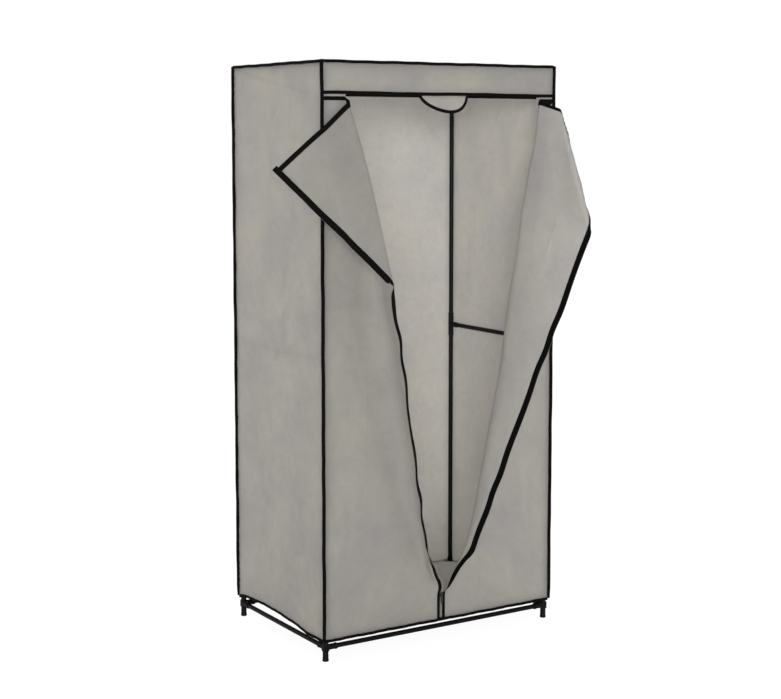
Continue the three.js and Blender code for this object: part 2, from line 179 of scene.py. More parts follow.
class Shape:
    """Faces drawn in millimetres from the middle of the wardrobe's floor, while the frame's zero is
    at the front left post. Each face corner keeps its place on the flat cloth or tape, in metres,
    which weave and stitches follow."""

    middle = np.array([0.367, 0.2414, 0.0])

    def __init__(self):
        self.points, self.faces, self.places, self.finish = [], [], [], []
        self.count = 0
        self.painted_seam_shade = []

    def add(self, points, faces, places, finish=0):
        self.points.append(np.asarray(points, float).reshape(-1, 3))
        self.faces += (np.asarray(faces) + self.count).tolist()
        self.places.append(np.asarray(places, float).reshape(-1, 2))
        self.finish += [finish] * len(faces)
        self.count += len(self.points[-1])

    def rings(self, rings, loop=False, along=None, finish=0):
        """A skin over closed rings of points, each joined to the next, as round a tube or tape."""
        rows, across = rings.shape[:2]
        index = np.arange(rows * across).reshape(rows, across)
        if loop:
            index = np.vstack([index, index[:1]])
            rings_open = np.concatenate([rings, rings[:1]])
        else:
            rings_open = rings
        beside = np.roll(index, -1, axis=1)
        faces = np.stack([index[:-1], beside[:-1], beside[1:], index[1:]], -1)
        if along is None:
            centres = rings_open.mean(axis=1)
            along = np.append(0, np.cumsum(np.linalg.norm(np.diff(centres, axis=0), axis=1)))
        first = np.vstack([rings[0], rings[0][:1]])
        round_ = np.append(0, np.cumsum(np.linalg.norm(np.diff(first, axis=0), axis=1)))
        u = np.stack([along[:-1], along[:-1], along[1:], along[1:]], -1)[:, None, :]
        v = np.stack([round_[:-1], round_[1:], round_[1:], round_[:-1]], -1)[None, :, :]
        u, v = np.broadcast_arrays(u, v)
        self.add(rings, faces.reshape(-1, 4), np.stack([u, v], -1) / 1000, finish)
        if not loop:
            base = self.count - rows * across
            for row, at in ((index[0][::-1], along[0]), (index[-1], along[-1])):
                self.faces.append((row + base).tolist())
                self.places.append(np.stack([np.full(across, at), round_[:-1]], -1) / 1000)
                self.finish.append(finish)

    def turned(self, start, direction, profile, hollow=False, segments=36):
        """A profile of (distance, radius) turned about an axis through start."""
        axis = np.asarray(direction, float) / np.linalg.norm(direction)
        side = np.cross(axis, (0.0, 0.0, 1.0) if abs(axis[2]) < 0.9 else (1.0, 0.0, 0.0))
        side /= np.linalg.norm(side)
        other = np.cross(axis, side)
        angle = np.linspace(0, 2 * math.pi, segments, endpoint=False)
        spoke = np.cos(angle)[:, None] * side + np.sin(angle)[:, None] * other
        profile = np.asarray(profile, float)
        rings = np.asarray(start, float) + profile[:, :1, None] * axis + profile[:, 1:, None] * spoke
        self.rings(rings, loop=hollow)

    def block(self, low, high, round_off=1.5):
        """A block with its upright edges rounded."""
        low, high = np.asarray(low, float), np.asarray(high, float)
        turns = np.linspace(0, math.pi / 2, 5)
        outline = []
        for sx, sy, begin in ((1, 1, 0), (-1, 1, 1), (-1, -1, 2), (1, -1, 3)):
            for turn in turns + begin * math.pi / 2:
                x = (high[0] if sx > 0 else low[0]) - sx * round_off + round_off * math.cos(turn)
                y = (high[1] if sy > 0 else low[1]) - sy * round_off + round_off * math.sin(turn)
                outline.append((x, y))
        outline = np.array(outline)
        self.rings(np.stack([np.column_stack([outline, np.full(len(outline), z)])
                             for z in (low[2], high[2])]))

    def make(self, name, materials):
        mesh = bpy.data.meshes.new(name)
        points = np.concatenate(self.points) / 1000 + self.middle
        mesh.from_pydata(points.tolist(), [], self.faces)
        layer = mesh.uv_layers.new(name="flat")
        layer.data.foreach_set("uv", np.concatenate(self.places).ravel())
        mesh.polygons.foreach_set("material_index", self.finish)
        # each point's weight of painted shade along the seams goes on the mesh for the cloth
        if self.painted_seam_shade:
            near = mesh.attributes.new("painted_seam_shade", "FLOAT", "POINT")
            near.data.foreach_set("value", np.concatenate(self.painted_seam_shade))
        for material in materials:
            mesh.materials.append(material)
        work = bmesh.new()
        work.from_mesh(mesh)
        bmesh.ops.recalc_face_normals(work, faces=work.faces)
        work.to_mesh(mesh)
        work.free()
        mesh.shade_smooth()
        mesh.set_sharp_from_angle(angle=math.radians(38))
        return placed(name, mesh)


def stand_in(obj, slot, *nodes):
    """The piece shows in place of those solids, which it hides. The slot is not used."""
    if nodes:
        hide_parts(*nodes)


def fix(obj, slot, *nodes, body="cabinet"):
    """The same, riding on that body."""
    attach(obj, body)
    stand_in(obj, slot, *nodes)


powder_coat = coated("powder_coat", (0.0034, 0.0032, 0.0031), 0.44,
                     shine=0.12, grain=1500.0, depth=0.00005)
tube_nodes = [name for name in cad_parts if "post" in name or name.endswith("_rail")
              or "_rail_" in name and "bracket" not in name]
tubes = {}
for name in sorted(tube_nodes):
    low, high = (np.array(corner) * 1000 - Shape.middle * 1000 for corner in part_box(name))
    size = high - low
    axis = int(np.argmax(size))
    length = size[axis]
    start = (low + high) / 2
    start[axis] = low[axis]
    direction = np.eye(3)[axis]
    radius, bore, lip = 6.5, 5.5, 0.25
    profile = [(0, bore + lip), (0, radius - lip), (lip, radius)]
    profile += [(d, radius) for d in np.linspace(lip, length - lip, max(3, int(length / 60)))[1:]]
    profile += [(length, radius - lip), (length, bore + lip), (length - lip, bore), (lip, bore)]
    shape = Shape()
    shape.turned(start, direction, profile, hollow=True, segments=32)
    tube = shape.make(name + "_tube", [powder_coat])
    fix(tube, "frame_tube", name)
    tubes[name] = tube


# Connectors. Moulded black plastic corners, feet and side joints: round sockets that grow out of
# one lump, with a raised collar at each mouth. The tubes push into them without tools.
moulded = coated("moulded_plastic", (0.0042, 0.0040, 0.0038), 0.52,
                 shine=0.11, grain=2600.0, depth=0.00004)
SOCKET_REACH = 34.3


def socket(shape, centre, direction, radius=8.0, collar=0.2):
    """A round socket from the lump's middle to its mouth, tapering a little, with its collar."""
    mouth = SOCKET_REACH
    shape.turned(centre, direction, [
        (-3.0, radius - 0.6), (0.0, radius), (mouth - 6.4, radius - 0.15),
        (mouth - 5.6, radius + collar), (mouth - 0.7, radius + collar),
        (mouth, radius + collar - 0.7), (mouth, 6.9), (mouth - 3.0, 6.7), (mouth - 3.2, 5.0)])


def moulding(shape, name):
    """The parts of a moulding run together into one skin, with its inside corners filled."""
    rough = shape.make(name + "_parts", [moulded])
    merge = rough.modifiers.new("merge", "REMESH")
    merge.mode = "VOXEL"
    merge.voxel_size = 0.00095
    soften = rough.modifiers.new("soften", "SMOOTH")
    soften.factor = 0.6
    soften.iterations = 3
    graph = bpy.context.evaluated_depsgraph_get()
    mesh = bpy.data.meshes.new_from_object(rough.evaluated_get(graph))
    bpy.data.objects.remove(rough)
    mesh.name = name
    mesh.materials.clear()
    mesh.materials.append(moulded)
    mesh.shade_smooth()
    return placed(name, mesh)


connectors = {}
for corner, sx, sy in (("front_left", -1, -1), ("front_right", 1, -1),
                       ("back_left", -1, 1), ("back_right", 1, 1)):
    x, y = POST_X * sx, POST_Y * sy
    foot = Shape()
    foot.turned((x, y, 0), (0, 0, 1), [
        (0, 6.8), (0.3, 8.1), (1.4, 8.9), (4.0, 8.9), (8.5, 8.1), (30, 7.9), (40, 7.6)])
    foot.block((x - 8.6, y - 8.6, 28.4), (x + 8.6, y + 8.6, 47.6), 2.6)
    socket(foot, (x, y, FOOT_RAIL), (-sx, 0, 0), 8.1, 0.8)
    socket(foot, (x, y, FOOT_RAIL), (0, -sy, 0), 8.1, 0.8)
    socket(foot, (x, y, FOOT_RAIL), (0, 0, 1))
    connectors["foot_connector_" + corner] = moulding(foot, "foot_moulding_" + corner)
    joint = Shape()
    joint.turned((x, y, SIDE_RAIL - 36), (0, 0, 1), [
        (0, 6.8), (0, 7.6), (0.7, 8.15), (5, 8.15), (5.8, 7.8), (30, 7.9), (36, 8.1), (42, 7.9),
        (66.2, 7.8), (67, 8.15), (71.3, 8.15), (72, 7.6), (72, 6.8)])
    socket(joint, (x, y, SIDE_RAIL), (0, -sy, 0))
    connectors["middle_connector_" + corner] = moulding(joint, "middle_moulding_" + corner)
    top = Shape()
    top.turned((x, y, TOP_RAIL), (0, 0, 1), [
        (-8, 3), (-7, 6), (0, 8), (5, 6.6), (7.4, 4.2), (8.3, 3.1), (10.2, 2.7), (10.5, 2.2)])
    for way in ((-sx, 0, 0), (0, -sy, 0), (0, 0, -1)):
        socket(top, (x, y, TOP_RAIL), way)
    connectors["top_connector_" + corner] = moulding(top, "top_moulding_" + corner)
for hand, sx in (("left", -1), ("right", 1)):
    bracket = Shape()
    x = POST_X * sx
    socket(bracket, (x, 0, HANGING_RAIL), (-sx, 0, 0), 8.0, 0.6)
    bracket.turned((x - 8.0 * sx, 0, HANGING_RAIL), (sx, 0, 0),
                   [(0, 7.4), (14.5, 7.8), (15.8, 7.0)])
    bracket.turned((x, -20, TOP_RAIL), (0, 1, 0),
                   [(0, 7.0), (0.8, 7.9), (39.2, 7.9), (40, 7.0)])
    for way in (-1, 1):
        bracket.block((x - 3.2, way * 9.0 - 4.5, HANGING_RAIL + 4),
                      (x + 3.2, way * 9.0 + 4.5, TOP_RAIL - 4), 1.5)
    bracket.block((x - 4.2, -5, HANGING_RAIL), (x + 4.2, 5, TOP_RAIL - 1), 1.5)
    connectors["hanging_rail_bracket_" + hand] = moulding(bracket, "rail_bracket_moulding_" + hand)
for name, obj in connectors.items():
    fix(obj, "connector_plastic", name)


# Cover panels. Grey spunbonded nonwoven cloth, about half a millimetre thick, with a fine pattern
# of heat-bonded points. Back, two sides and a top are cut square and sewn into the piping, and
# they sag a little between the rails, with puckers along the seams.
def nonwoven(name, colour):
    """Bonded fibre cloth: rows of pressed points, loose fibres between, clouds of thick and thin,
    soft creases, painted shade darkening it along the seams, and letting some light through."""
    material, start = blank(name)
    flat = start.node("UVMap", {"uv_map": "flat"})
    slope = start.node("Mapping", None, {"Vector": flat, "Rotation": (0.0, 0.0, 0.785)})
    points = start.node("TexVoronoi", {"feature": "F1"},
                        {"Vector": slope, "Scale": 620.0, "Randomness": 0.25})
    fibres = start.noise(flat, 1400.0, 4.0, 0.7)
    clouds = start.noise(flat, 34.0, 7.0, 0.66, 0.8)
    drift = start.noise(flat, 5.0, 5.0, 0.58)
    web = start.step(clouds, 0.30, 0.70)
    pressed = start.step(points, 0.12, 0.34)
    shade = start.mix(web, tone(colour, 0.79), tone(colour, 1.21))
    warm = (colour[0] * 1.16, colour[1] * 1.15, colour[2] * 1.06)
    cool = (colour[0] * 0.84, colour[1] * 0.845, colour[2] * 0.92)
    tint = start.mix(start.step(drift, 0.36, 0.64), cool, warm)
    shade = start.mix(0.5, shade, tint)
    shade = start.mix((1.0 - pressed) * 0.3, shade, tone(colour, 0.88))
    # painted shade along the seams: the cloth darkens where a point's seam weight is high
    painted_seam_shade = start.node("Attribute", {"attribute_name": "painted_seam_shade"}, None, 2)
    shade = start.mix(painted_seam_shade * (0.75 + web * 0.5), shade, tone(colour, 0.62))
    creases = start.noise(flat, 6.0, 3.0, 0.4, 0.5)
    creases.socket.node.noise_type = "RIDGED_MULTIFRACTAL"
    # creases left by the packing, in rectangles, worn away in places
    parts = start.node("SeparateXYZ", None, {0: flat})
    wander = clouds * 0.0022 + drift * 0.006
    packed = 0.0
    for way, spacing in enumerate((0.0625, 0.1300)):
        place = Wire(start.tree, parts.socket.node.outputs[way])
        away = start.calc("PINGPONG", place + wander, spacing)
        ridge = start.calc("MAXIMUM", 1.0 - away * 110.0, 0.0)
        packed = packed + ridge * ridge
    worn = start.step(drift, 0.46, 0.64)
    broad = start.node("Bump", None, {
        "Height": creases + packed * worn * 0.10, "Distance": 0.0075, "Strength": 1.0})
    fine = start.node("Bump", None, {
        "Height": pressed * 0.7 + fibres * 0.6 + web * 0.5, "Normal": broad, "Distance": 0.00022,
        "Strength": 0.8})
    cloth = start.node("BsdfPrincipled", None, {
        "Base Color": shade, "Roughness": 0.80 + web * 0.14, "Normal": fine,
        "Specular IOR Level": 0.2})
    through = start.node("BsdfTranslucent", None, {"Color": (0.96, 0.94, 0.90, 1.0)})
    cloth = start.node("MixShader", None, {0: 0.35, 1: cloth, 2: through})
    start.node("OutputMaterial", None, {"Surface": cloth})
    return material


# one cloth, with copies for its inner faces toned to match how they look: the darker copy is painted
# shade, and the lighter ones are painted light, standing in for light coming through
cloth_out = nonwoven("cover_cloth_outside", (0.400, 0.386, 0.363))
cloth_in_painted_shade = nonwoven("cover_cloth_inside_painted_shade", (0.298, 0.288, 0.270))
cloth_lit = nonwoven("cover_cloth_inside_lit", (0.430, 0.417, 0.398))
cloth_floor_painted_light = nonwoven("cover_cloth_floor_painted_light", (0.84, 0.82, 0.79))
cloth_wall_painted_light = nonwoven("cover_cloth_inner_wall_painted_light", (0.572, 0.556, 0.532))


def ease(t):
    t = np.clip(t, 0, 1)
    return t * t * (3 - 2 * t)


def ripple(u, v, length, seed, stretch=1.0):
    """Soft uneven waves of about that length, from about -1 to 1, longer along v by stretch."""
    rng = np.random.default_rng(seed)
    count = 8
    total = 0.0
    for _ in range(count):
        heading = rng.uniform(0, math.pi)
        wave = length * rng.uniform(0.7, 1.7)
        run = u * math.cos(heading) + v / stretch * math.sin(heading)
        total = total + np.sin(2 * math.pi * run / wave + rng.uniform(0, 2 * math.pi))
    return total / math.sqrt(count)


def pucker(along, away, seed, size=0.7):
    """Short ripples that run in from a seam and die out."""
    return size * np.sin(along / 2.9 + 1.7 * np.sin(along / 23 + seed)) * np.exp(-(away / 13.0) ** 2)


def hang(u, v, limits, seed, sag, wave, bays):
    """How far a panel stands out, in mm: in between its edges, at rest on the rails it crosses."""
    u0, u1, v0, v1 = limits
    edges = np.minimum(np.minimum(u - u0, u1 - u), np.minimum(v - v0, v1 - v))
    levels = [v0, *bays, v1]
    dip = 0.0
    for low, high in zip(levels, levels[1:]):
        t = np.clip((v - low) / (high - low), 0, 1)
        dip = dip + np.sin(math.pi * t)
    across = np.sin(math.pi * np.clip((u - u0) / (u1 - u0), 0, 1))
    free = ease(edges / 45)
    seams = pucker(v, u - u0, seed) + pucker(v, u1 - u, seed + 1) + pucker(u, v - v0, seed + 2) \
        + pucker(u, v1 - v, seed + 3)
    drawn_in = 1.6 * np.exp(-edges / 7.0)
    return -sag * dip * across + free * wave * ripple(u, v, 210, seed, 2.2) + seams \
        + 0.4 * free * ripple(u, v, 60, seed + 9, 1.6) - drawn_in


def add_sheet(shape, place, u, v, out, thick=CLOTH, finish=(0, 1), seams=None):
    """A closed sheet of cloth: its two faces and its rim. Place(u, v, out) puts a point of it in
    space, finish is the material of each face, and seams is how far each point is from a seam."""
    front, back = place(u, v, out), place(u, v, out - thick)
    rows, across = front.shape[:2]
    # how strongly each point takes the painted shade along the seams, strongest at a seam
    near = np.zeros(rows * across) if seams is None else np.exp(-seams.ravel() / 9.0)
    index = np.arange(rows * across).reshape(rows, across)
    quads = np.stack([index[:-1, :-1], index[:-1, 1:], index[1:, 1:], index[1:, :-1]], -1)
    quads = quads.reshape(-1, 4)
    flat = np.stack([u, v], -1).reshape(-1, 2) / 1000
    points = np.concatenate([front.reshape(-1, 3), back.reshape(-1, 3)])
    under = rows * across
    rim = np.concatenate([index[0], index[1:, -1], index[-1, :-1][::-1], index[1:-1, 0][::-1]])
    after = np.roll(rim, -1)
    edge = np.stack([rim, rim + under, after + under, after], -1)
    both = np.concatenate([flat, flat])
    faces = np.concatenate([quads, quads[:, ::-1] + under, edge])
    shape.add(points, faces, both[faces])
    shape.painted_seam_shade.append(np.concatenate([near, near]))
    one, other = finish
    shape.finish[-len(faces):] = [one] * len(quads) + [other] * len(quads) + [one] * len(edge)


def hem_lift(side, along):
    """How far the lower hem is drawn up, in mm, along one side of the wardrobe."""
    if side == "left":
        at = np.linspace(-252, 252, 253)
        rise = np.interp(at, [-252, -200, -161, -126, -84, -39, 14, 80, 178, 221, 252],
                         [0, -1.5, -2.0, 3.0, 8.5, 11, 14, 16, 12.5, 8.5, 0])
        window = np.hanning(27) / np.hanning(27).sum()
        return np.interp(along, at, np.convolve(np.pad(rise, 13, mode="edge"), window, "valid"))
    middle, reach, rise = {"right": (-60, 90.0, 6.0), "back": (90, 130.0, 4.0)}[side]
    return rise * np.exp(-((along - middle) / reach) ** 2)


def denser(count):
    """Steps from 0 to 1 that are closer together at both ends."""
    t = np.linspace(0, 1, count)
    return t - 0.16 * np.sin(2 * math.pi * t)


def panel(name, node, plane, u_range, v_range, seed, lift=None, sag=0.6, wave=1.3, bays=(),
          pulls=()):
    """One flat-cut panel: plane(u, v, out) puts a point of it in space. Pulls are straight folds in
    it where it is pulled taut, as (from, to, how deep, how wide) in mm."""
    step = 11.0
    us = u_range[0] + (u_range[1] - u_range[0]) * denser(int((u_range[1] - u_range[0]) / step) + 1)
    ts = denser(int((v_range[1] - v_range[0]) / step) + 1)
    u, t = np.meshgrid(us, ts)
    low = v_range[0] + (lift(u) if lift else 0.0)
    v = low + t * (v_range[1] - low)
    out = hang(u, v, (*u_range, *v_range), seed, sag, wave, bays)
    for begin, end, deep, wide in pulls:
        line = np.subtract(end, begin)
        length = np.hypot(*line)
        along = ((u - begin[0]) * line[0] + (v - begin[1]) * line[1]) / length
        off = ((v - begin[1]) * line[0] - (u - begin[0]) * line[1]) / length
        ends = ease(along / 90) * ease((length - along) / 90)
        out = out - deep * ends * off / wide * np.exp(0.5 - 2.0 * (off / wide) ** 2)
    shape = Shape()
    edges = np.minimum(np.minimum(u - u_range[0], u_range[1] - u), np.minimum(v - low, v_range[1] - v))
    add_sheet(shape, plane, u, v, out, seams=edges)
    # its inner faces take the lighter copy of the cloth: painted light
    obj = shape.make(name, [cloth_out, cloth_wall_painted_light])
    fix(obj, "cover_cloth", node)
    return obj


def stack(x, y, z):
    return np.stack(np.broadcast_arrays(x, y, z), -1)


depth, width, height = (-PANEL_Y, PANEL_Y), (-PANEL_X, PANEL_X), (HEM, PANEL_TOP)
left_side = panel("left_side_cloth", "left_side_panel",
                  lambda u, v, out: stack(-SIDE_FACE - out, u, v), depth, height, 11,
                  lambda u: hem_lift("left", u), bays=(SIDE_RAIL,),
                  pulls=[((240.0, 1590.0), (-245.0, 1502.0), 7.0, 22.0),
                         ((-240.0, 70.0), (60.0, 190.0), 3.0, 20.0)])
right_side = panel("right_side_cloth", "right_side_panel",
                   lambda u, v, out: stack(SIDE_FACE + out, u, v), depth, height, 12,
                   lambda u: hem_lift("right", u), bays=(SIDE_RAIL,))
back_cloth = panel("back_cloth", "back_panel", lambda u, v, out: stack(u, BACK_FACE + out, v),
                   width, height, 13, lambda u: hem_lift("back", u), sag=2.0, wave=2.0)
top_cloth = panel("top_cloth", "top_panel", lambda u, v, out: stack(u, v, TOP_FACE + out),
                  width, depth, 14, sag=4.0)
for obj, flat, rails in (
        (left_side, (0.52, 1.56), [tubes["top_rail_left"], tubes["middle_rail_left"]]),
        (right_side, (0.52, 1.56), [tubes["top_rail_right"], tubes["middle_rail_right"]]),
        (back_cloth, (0.77, 1.56), [tubes["top_rail_back"]]),
        (top_cloth, (0.77, 0.52), [tubes["top_rail_front"], tubes["top_rail_back"]])):
    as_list(rails)


# Floor sheet. The same cloth, sewn in round the foot, with its corners cut away for the posts.
# It hangs a little above the foot rails and sags in the middle.
CUT_CORNER = 48
shape = Shape()
v, s = np.meshgrid(np.linspace(-250, 253, 46), np.linspace(-1, 1, 66), indexing="ij")
cut = np.clip(np.abs(v) - (250 - CUT_CORNER), 0, CUT_CORNER)
u = s * (PANEL_X - (CUT_CORNER - np.sqrt(CUT_CORNER ** 2 - cut ** 2)))
sag = -5.0 * np.cos(s * math.pi / 2) * np.cos(v / 250 * math.pi / 2) \
    + 1.6 * ripple(u, v, 190, 31) * ease((1 - np.abs(s)) * 8) * ease((250 - np.abs(v)) / 40)
# its edges go up with the hem
sag = sag + hem_lift("left", v) * ease((s + 0.55) / -0.42) * np.exp(-((s + 1) / 0.3) ** 2) \
    + hem_lift("right", v) * np.exp(-((1 - s) / 0.25) ** 2) \
    + hem_lift("back", u) * np.exp(-((253 - v) / 50.0) ** 2)
add_sheet(shape, stack, u, v, 58.6 + sag, finish=(1, 0))
# its upper face takes the lighter copy of the cloth: painted light
floor_cloth = shape.make("floor_cloth", [cloth_out, cloth_floor_painted_light])
fix(floor_cloth, "cover_cloth", "floor_sheet")


# Piping and hem. Black woven tape folded over every seam of the cover and stitched through: up the
# four corners, round the top, and round the open foot, where one side is drawn up behind.
def woven(name, colour, ribs, stitch=None):
    """Black tape with ribs across it and, if asked, a row of stitches at that place across."""
    material, start = blank(name)
    flat = start.node("UVMap", {"uv_map": "flat"})
    along = start.node("SeparateXYZ", None, {0: flat})
    across = Wire(start.tree, along.socket.node.outputs[1])
    twill = start.calc("SINE", (along + across * 0.35) * (ribs * 2.0))
    weft = start.calc("SINE", across * (ribs * 4.0))
    fuzz = start.noise(flat, 700.0, 3.0)
    dust = start.noise(flat, 30.0, 5.0, 0.6)
    shade = start.mix(fuzz * 0.6 + dust * 0.4, tone(colour, 0.7), tone(colour, 1.5))
    height = twill * 0.25 + weft * 0.12 + fuzz * 0.5
    if stitch is not None:
        stitch_length, half_thread = 0.0032, 0.00055
        beat = start.calc("SINE", along * (2 * math.pi / stitch_length))
        near = start.calc("COMPARE", across, stitch, half_thread)
        thread = near * start.calc("GREATER_THAN", beat, -0.55)
        shade = start.mix(thread * 0.7, shade, tone(colour, 3.0))
        height = height + thread * 1.6
    bump = start.node("Bump", None, {"Height": height, "Distance": 0.00022, "Strength": 0.9})
    shader = start.node("BsdfPrincipled", None, {
        "Base Color": shade, "Roughness": 0.72 + fuzz * 0.2, "Normal": bump,
        "Specular IOR Level": 0.05})
    start.node("OutputMaterial", None, {"Surface": shader})
    return material


binding_tape = woven("binding_tape", (0.0032, 0.0029, 0.0026), ribs=1100.0, stitch=0.0055)


def follow(path, section, loop=False, up=(0.0, 0.0, 1.0)):
    """Rings of a section carried along a path: section points are (out to the side, up)."""
    path = np.asarray(path, float)
    if loop:
        ahead = unit(np.roll(path, -1, axis=0) - np.roll(path, 1, axis=0))
    else:
        ahead = unit(np.gradient(path, axis=0))
    side = unit(np.cross(ahead, np.broadcast_to(up, ahead.shape)))
    rise = np.cross(side, ahead)
    out, over = np.asarray(section, float).T[:, None, :, None]
    return path[:, None] + out * side[:, None] + over * rise[:, None]


def oval(wide, high, count=14):
    turn = np.linspace(0, 2 * math.pi, count, endpoint=False)
    return np.stack([wide * np.cos(turn), high * np.sin(turn)], -1)


def rounded_loop(half_x, half_y, radius, step=12.0):
    """Points round a rectangle with rounded corners, anticlockwise from the front left."""
    points = []
    for sx, sy, begin in ((-1, -1, 1.0), (1, -1, 1.5), (1, 1, 0.0), (-1, 1, 0.5)):
        for turn in np.linspace(0, math.pi / 2, 6) + begin * math.pi:
            points.append((sx * (half_x - radius) + radius * math.cos(turn),
                           sy * (half_y - radius) + radius * math.sin(turn)))
    points = np.array(points)
    steps = []
    for here, there in zip(points, np.roll(points, -1, axis=0)):
        count = max(1, int(np.linalg.norm(there - here) / step))
        steps += [here + (there - here) * k / count for k in range(count)]
    return np.array(steps)


piping = Shape()
for sx, sy, seed in ((-1, -1, 41), (1, -1, 42), (1, 1, 43), (-1, 1, 44)):
    z = np.append(np.arange(60.0, 1590.0, 10.0), (1596.0, 1599.0))
    lean = 0.5 * np.sin(z / 41 + seed) + 0.4 * np.sin(z / 17 + 2 * seed)
    shy = 0.4 * np.sin(z / 29 + 3 * seed)
    path = stack(CORNER_X * sx + lean * 0.7, 254.5 * sy + shy, z)
    rings = follow(path, oval(4.8, 4.7), up=(0.0, 1.0, 0.0))
    taper = 1 - 0.5 * ease((95 - z) / 45) * (1.0 if (sx, sy) == (-1, 1) else 0.3)
    rings = path[:, None] + (rings - path[:, None]) * taper[:, None, None]
    piping.rings(rings)
rim = rounded_loop(377.2, 254.2, 6.0)
turn = np.arange(len(rim))
path = np.column_stack([rim, 1597.3 + 0.35 * np.sin(turn * 0.9) + 0.3 * np.sin(turn * 0.31)])
piping.rings(follow(path, oval(4.3, 4.2), loop=True), loop=True)


def band_out(u, v):
    """How far the front band stands out, in mm."""
    return 0.9 * ripple(u, v, 120, 51, 0.8) * ease((1594 - v) / 40) + pucker(u, 1594.5 - v, 5, 0.5)


xs = np.arange(-375.0, 375.1, 6.0)
height = 1516.6 + 0.6 * np.sin(xs / 63) + 0.3 * np.sin(xs / 19)
path = stack(xs, -253.5 - band_out(xs, height), height)
band_section = [(-1.6, -3.8), (-1.0, -4.4), (1.0, -4.4), (1.6, -3.8), (1.6, 3.8), (1.0, 4.4),
                (-1.0, 4.4), (-1.6, 3.8)]
piping.rings(follow(path, band_section))
piping_obj = piping.make("seam_piping", [binding_tape])
fix(piping_obj, "black_binding", "edge_piping")

hem = Shape()
rim = rounded_loop(376.0, 252.6, 4.0, 9.0)
lift = np.zeros(len(rim))
for side, fixed, axis in (("left", -376.0, 0), ("right", 376.0, 0), ("back", 252.6, 1)):
    on = np.abs(rim[:, axis] - fixed) < 0.5
    lift[on] = hem_lift(side, rim[on, 1 - axis])
turn = np.arange(len(rim))
path = np.column_stack([rim, 58.0 + lift + 0.5 * np.sin(turn * 0.55) + 0.35 * np.sin(turn * 1.7)])
hem_section = [(-1.3, -3.6), (-0.7, -4.1), (0.7, -4.1), (1.3, -3.6), (1.4, 3.7), (0.9, 4.2),
               (0.5, 3.8), (0.3, -0.6), (-0.9, -0.8), (-1.3, -1.2)]
hem.rings(follow(path, hem_section, loop=True), loop=True)
hem_obj = hem.make("hem_tape", [binding_tape])
fix(hem_obj, "black_binding", "hem_binding")


# Front band and facing. A strip of the cloth crosses the top of the front, and behind it a facing
# hangs down to a bound edge that dips into a half-moon tab over the head of the zip.
shape = Shape()
u, v = np.meshgrid(np.linspace(-375, 375, 90), np.linspace(1514.5, 1596.0, 10))
out = band_out(u, v)
seams = np.minimum(np.minimum(375 - np.abs(u), 1596 - v) * 0.7, v - 1512.5)
add_sheet(shape, lambda u, v, out: stack(u, -254.0 - out, v), u, v, out, 1.1, seams=seams)
# its inner face takes the darker copy of the cloth: painted shade
band = shape.make("front_band_cloth", [cloth_out, cloth_in_painted_shade])
fix(band, "cover_cloth", "front_band")


def tab_edge(turn, grow=0.0):
    """The outline of the tab over the zip, from its left corner at 0 to its right one at pi."""
    x = 7.4 - (80.5 + grow) * np.cos(turn) + 23.0 * np.sin(turn) ** 2
    return x, np.minimum(1507.3, 1512.0 - (46.5 + grow) * np.sin(turn) ** 1.25)


turn = np.linspace(0.0, math.pi, 41)
tab_x, tab_z = tab_edge(turn, -3.0)
xs = np.concatenate([[-330, -304, -302], np.linspace(-294, -76, 22), tab_x,
                     np.linspace(92, 316, 22), [322, 324, 330]])
beside = np.full(23, 1510.0)
low = np.concatenate([[1490, 1490], beside, tab_z + 3.0, beside, [1490, 1490]])
t = np.linspace(0, 1, 12)[:, None]
v = low[None] + t * (1589.7 - low[None])
u = np.broadcast_to(xs, v.shape)
out = 0.5 * ripple(u, v, 90, 53) - 3.4 * ease((1574.0 - v) / 50)
shape = Shape()
add_sheet(shape, lambda u, v, out: stack(u, -249.3 - out, v), u, v, out, 1.1)
facing = shape.make("facing_cloth", [cloth_out, cloth_in_painted_shade])
fix(facing, "cover_cloth", "zip_facing")

turn = np.linspace(0.04, math.pi - 0.04, 44)
xs = np.concatenate([np.linspace(-301, -79, 28), tab_edge(turn)[0], np.linspace(94, 321, 28)])
zs = np.concatenate([np.full(28, 1507.3), tab_edge(turn)[1], np.full(28, 1507.3)])
path = stack(xs, -248.8 - 0.5 * ripple(xs, zs, 90, 53) + 3.4 * ease((1574.0 - zs) / 50), zs)
inward = np.cross((0.0, -1.0, 0.0), unit(np.gradient(path, axis=0)))
section = np.array([(0.3, 1.2), (-0.3, 0.6), (-0.3, -0.6), (0.3, -1.2), (7.9, -1.2), (8.5, -0.6),
                    (8.5, 0.6), (7.9, 1.2)])
shape = Shape()
shape.rings(path[:, None] + section[None, :, :1] * inward[:, None]
            + section[None, :, 1:] * np.array([0.0, 1.0, 0.0]))
facing_edge = shape.make("facing_tape", [binding_tape])
fix(facing_edge, "black_binding", "facing_binding")


